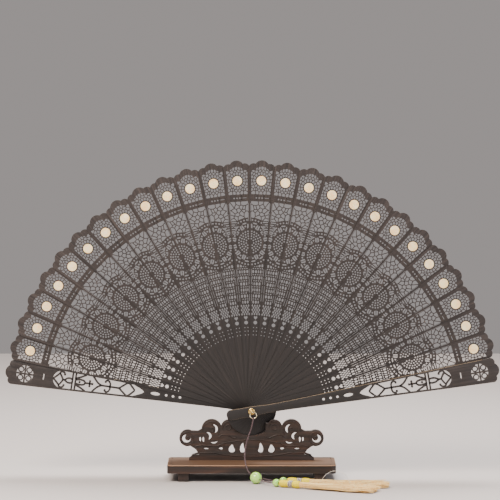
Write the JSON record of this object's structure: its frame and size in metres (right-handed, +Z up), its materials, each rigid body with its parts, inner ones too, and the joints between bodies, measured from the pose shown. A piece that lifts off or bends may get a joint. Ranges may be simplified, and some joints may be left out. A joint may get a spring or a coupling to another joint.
{
  "type": "folding fan on stand",
  "caption": "Carved wooden folding fan, open and upright in a small pierced stand, with a jade bead and two silk tassels on a cord.",
  "frame": {"origin": "on the table, under the middle of the stand's board", "axes": "+X to the right of somebody facing the fan, along its width; +Y away from them; +Z up"},
  "size_m": [0.4135, 0.1255, 0.2652],
  "materials": {
    "sandalwood": "satin",
    "walnut": "satin",
    "bone_inlay": "satin",
    "brass": "polished",
    "ring_wire": "polished",
    "screw_steel": "satin",
    "cord_braid": "matte",
    "jade": "gloss",
    "head_thread": "matte",
    "skirt_silk": "satin",
    "ribbon_silk": "matte"
  },
  "bodies": {
    "stand": {"base_board": "walnut", "stand_feet": "walnut", "carved_panel": "walnut", "rear_saddle": "walnut", "panel_screws": "screw_steel"},
    "rivet": {"rivet_pin": "brass", "front_eyelet": "brass", "back_washer": "brass", "tassel_ring": "ring_wire", "tassel_cord": "cord_braid", "second_strand": "cord_braid", "jade_bead": "jade", "front_small_bead": "jade", "back_small_bead": "jade", "front_tassel_head": "head_thread", "back_tassel_head": "head_thread", "front_tassel_skirt": "skirt_silk", "back_tassel_skirt": "skirt_silk"},
    "front_guard": {"front_guard": "sandalwood"},
    "back_guard": {"back_guard": "sandalwood"},
    "leaf_01": {"leaf_01": "sandalwood"},
    "leaf_02": {"leaf_02": "sandalwood"},
    "leaf_03": {"leaf_03": "sandalwood"},
    "leaf_04": {"leaf_04": "sandalwood"},
    "leaf_05": {"leaf_05": "sandalwood"},
    "leaf_06": {"leaf_06": "sandalwood"},
    "leaf_07": {"leaf_07": "sandalwood"},
    "leaf_08": {"leaf_08": "sandalwood"},
    "leaf_09": {"leaf_09": "sandalwood"},
    "leaf_10": {"leaf_10": "sandalwood"},
    "leaf_11": {"leaf_11": "sandalwood"},
    "leaf_12": {"leaf_12": "sandalwood"},
    "leaf_13": {"leaf_13": "sandalwood"},
    "leaf_14": {"leaf_14": "sandalwood"},
    "leaf_15": {"leaf_15": "sandalwood"},
    "leaf_16": {"leaf_16": "sandalwood"},
    "leaf_17": {"leaf_17": "sandalwood"},
    "leaf_18": {"leaf_18": "sandalwood"},
    "leaf_19": {"leaf_19": "sandalwood"},
    "leaf_20": {"leaf_20": "sandalwood"},
    "leaf_21": {"leaf_21": "sandalwood"},
    "leaf_22": {"leaf_22": "sandalwood"},
    "leaf_23": {"leaf_23": "sandalwood"},
    "leaf_24": {"leaf_24": "sandalwood"},
    "leaf_25": {"leaf_25": "sandalwood"},
    "leaf_26": {"leaf_26": "sandalwood"}
  },
  "joints": [
    {"name": "fan_lift", "type": "slide", "parent": "stand", "child": "rivet", "axis": [0, 0, 1], "range_m": [0, 0.06]},
    {"name": "fan_fold", "type": "hinge", "parent": "rivet", "child": "front_guard", "pos_m": [0, 0.009, 0.056], "axis": [0, -1, 0], "range_deg": [0, 80.18]},
    {"name": "leaf_01_turn", "type": "hinge", "parent": "rivet", "child": "leaf_01", "pos_m": [0, 0.009, 0.056], "axis": [0, -1, 0], "range_deg": [0, 74.2]},
    {"name": "leaf_02_turn", "type": "hinge", "parent": "rivet", "child": "leaf_02", "pos_m": [0, 0.009, 0.056], "axis": [0, -1, 0], "range_deg": [0, 68.22]},
    {"name": "leaf_03_turn", "type": "hinge", "parent": "rivet", "child": "leaf_03", "pos_m": [0, 0.009, 0.056], "axis": [0, -1, 0], "range_deg": [0, 62.24]},
    {"name": "leaf_04_turn", "type": "hinge", "parent": "rivet", "child": "leaf_04", "pos_m": [0, 0.009, 0.056], "axis": [0, -1, 0], "range_deg": [0, 56.26]},
    {"name": "leaf_05_turn", "type": "hinge", "parent": "rivet", "child": "leaf_05", "pos_m": [0, 0.009, 0.056], "axis": [0, -1, 0], "range_deg": [0, 50.28]},
    {"name": "leaf_06_turn", "type": "hinge", "parent": "rivet", "child": "leaf_06", "pos_m": [0, 0.009, 0.056], "axis": [0, -1, 0], "range_deg": [0, 44.3]},
    {"name": "leaf_07_turn", "type": "hinge", "parent": "rivet", "child": "leaf_07", "pos_m": [0, 0.009, 0.056], "axis": [0, -1, 0], "range_deg": [0, 38.32]},
    {"name": "leaf_08_turn", "type": "hinge", "parent": "rivet", "child": "leaf_08", "pos_m": [0, 0.009, 0.056], "axis": [0, -1, 0], "range_deg": [0, 32.34]},
    {"name": "leaf_09_turn", "type": "hinge", "parent": "rivet", "child": "leaf_09", "pos_m": [0, 0.009, 0.056], "axis": [0, -1, 0], "range_deg": [0, 26.36]},
    {"name": "leaf_10_turn", "type": "hinge", "parent": "rivet", "child": "leaf_10", "pos_m": [0, 0.009, 0.056], "axis": [0, -1, 0], "range_deg": [0, 20.38]},
    {"name": "leaf_11_turn", "type": "hinge", "parent": "rivet", "child": "leaf_11", "pos_m": [0, 0.009, 0.056], "axis": [0, -1, 0], "range_deg": [0, 14.4]},
    {"name": "leaf_12_turn", "type": "hinge", "parent": "rivet", "child": "leaf_12", "pos_m": [0, 0.009, 0.056], "axis": [0, -1, 0], "range_deg": [0, 8.42]},
    {"name": "leaf_13_turn", "type": "hinge", "parent": "rivet", "child": "leaf_13", "pos_m": [0, 0.009, 0.056], "axis": [0, -1, 0], "range_deg": [0, 2.44]},
    {"name": "leaf_14_turn", "type": "hinge", "parent": "rivet", "child": "leaf_14", "pos_m": [0, 0.009, 0.056], "axis": [0, -1, 0], "range_deg": [-3.54, 0]},
    {"name": "leaf_15_turn", "type": "hinge", "parent": "rivet", "child": "leaf_15", "pos_m": [0, 0.009, 0.056], "axis": [0, -1, 0], "range_deg": [-9.52, 0]},
    {"name": "leaf_16_turn", "type": "hinge", "parent": "rivet", "child": "leaf_16", "pos_m": [0, 0.009, 0.056], "axis": [0, -1, 0], "range_deg": [-15.5, 0]},
    {"name": "leaf_17_turn", "type": "hinge", "parent": "rivet", "child": "leaf_17", "pos_m": [0, 0.009, 0.056], "axis": [0, -1, 0], "range_deg": [-21.48, 0]},
    {"name": "leaf_18_turn", "type": "hinge", "parent": "rivet", "child": "leaf_18", "pos_m": [0, 0.009, 0.056], "axis": [0, -1, 0], "range_deg": [-27.46, 0]},
    {"name": "leaf_19_turn", "type": "hinge", "parent": "rivet", "child": "leaf_19", "pos_m": [0, 0.009, 0.056], "axis": [0, -1, 0], "range_deg": [-33.44, 0]},
    {"name": "leaf_20_turn", "type": "hinge", "parent": "rivet", "child": "leaf_20", "pos_m": [0, 0.009, 0.056], "axis": [0, -1, 0], "range_deg": [-39.42, 0]},
    {"name": "leaf_21_turn", "type": "hinge", "parent": "rivet", "child": "leaf_21", "pos_m": [0, 0.009, 0.056], "axis": [0, -1, 0], "range_deg": [-45.4, 0]},
    {"name": "leaf_22_turn", "type": "hinge", "parent": "rivet", "child": "leaf_22", "pos_m": [0, 0.009, 0.056], "axis": [0, -1, 0], "range_deg": [-51.38, 0]},
    {"name": "leaf_23_turn", "type": "hinge", "parent": "rivet", "child": "leaf_23", "pos_m": [0, 0.009, 0.056], "axis": [0, -1, 0], "range_deg": [-57.36, 0]},
    {"name": "leaf_24_turn", "type": "hinge", "parent": "rivet", "child": "leaf_24", "pos_m": [0, 0.009, 0.056], "axis": [0, -1, 0], "range_deg": [-63.34, 0]},
    {"name": "leaf_25_turn", "type": "hinge", "parent": "rivet", "child": "leaf_25", "pos_m": [0, 0.009, 0.056], "axis": [0, -1, 0], "range_deg": [-69.32, 0]},
    {"name": "leaf_26_turn", "type": "hinge", "parent": "rivet", "child": "leaf_26", "pos_m": [0, 0.009, 0.056], "axis": [0, -1, 0], "range_deg": [-75.3, 0]},
    {"name": "back_guard_turn", "type": "hinge", "parent": "rivet", "child": "back_guard", "pos_m": [0, 0.009, 0.056], "axis": [0, -1, 0], "range_deg": [-81.28, 0]}
  ],
  "couplings": [
    {"joint": "leaf_01_turn", "follows": "fan_fold", "ratio": 0.92542},
    {"joint": "leaf_02_turn", "follows": "fan_fold", "ratio": 0.85084},
    {"joint": "leaf_03_turn", "follows": "fan_fold", "ratio": 0.77625},
    {"joint": "leaf_04_turn", "follows": "fan_fold", "ratio": 0.70167},
    {"joint": "leaf_05_turn", "follows": "fan_fold", "ratio": 0.62709},
    {"joint": "leaf_06_turn", "follows": "fan_fold", "ratio": 0.55251},
    {"joint": "leaf_07_turn", "follows": "fan_fold", "ratio": 0.47792},
    {"joint": "leaf_08_turn", "follows": "fan_fold", "ratio": 0.40334},
    {"joint": "leaf_09_turn", "follows": "fan_fold", "ratio": 0.32876},
    {"joint": "leaf_10_turn", "follows": "fan_fold", "ratio": 0.25418},
    {"joint": "leaf_11_turn", "follows": "fan_fold", "ratio": 0.1796},
    {"joint": "leaf_12_turn", "follows": "fan_fold", "ratio": 0.10501},
    {"joint": "leaf_13_turn", "follows": "fan_fold", "ratio": 0.030432},
    {"joint": "leaf_14_turn", "follows": "fan_fold", "ratio": -0.044151},
    {"joint": "leaf_15_turn", "follows": "fan_fold", "ratio": -0.11873},
    {"joint": "leaf_16_turn", "follows": "fan_fold", "ratio": -0.19331},
    {"joint": "leaf_17_turn", "follows": "fan_fold", "ratio": -0.2679},
    {"joint": "leaf_18_turn", "follows": "fan_fold", "ratio": -0.34248},
    {"joint": "leaf_19_turn", "follows": "fan_fold", "ratio": -0.41706},
    {"joint": "leaf_20_turn", "follows": "fan_fold", "ratio": -0.49164},
    {"joint": "leaf_21_turn", "follows": "fan_fold", "ratio": -0.56623},
    {"joint": "leaf_22_turn", "follows": "fan_fold", "ratio": -0.64081},
    {"joint": "leaf_23_turn", "follows": "fan_fold", "ratio": -0.71539},
    {"joint": "leaf_24_turn", "follows": "fan_fold", "ratio": -0.78997},
    {"joint": "leaf_25_turn", "follows": "fan_fold", "ratio": -0.86455},
    {"joint": "leaf_26_turn", "follows": "fan_fold", "ratio": -0.93914},
    {"joint": "back_guard_turn", "follows": "fan_fold", "ratio": -1.0137}
  ]
}
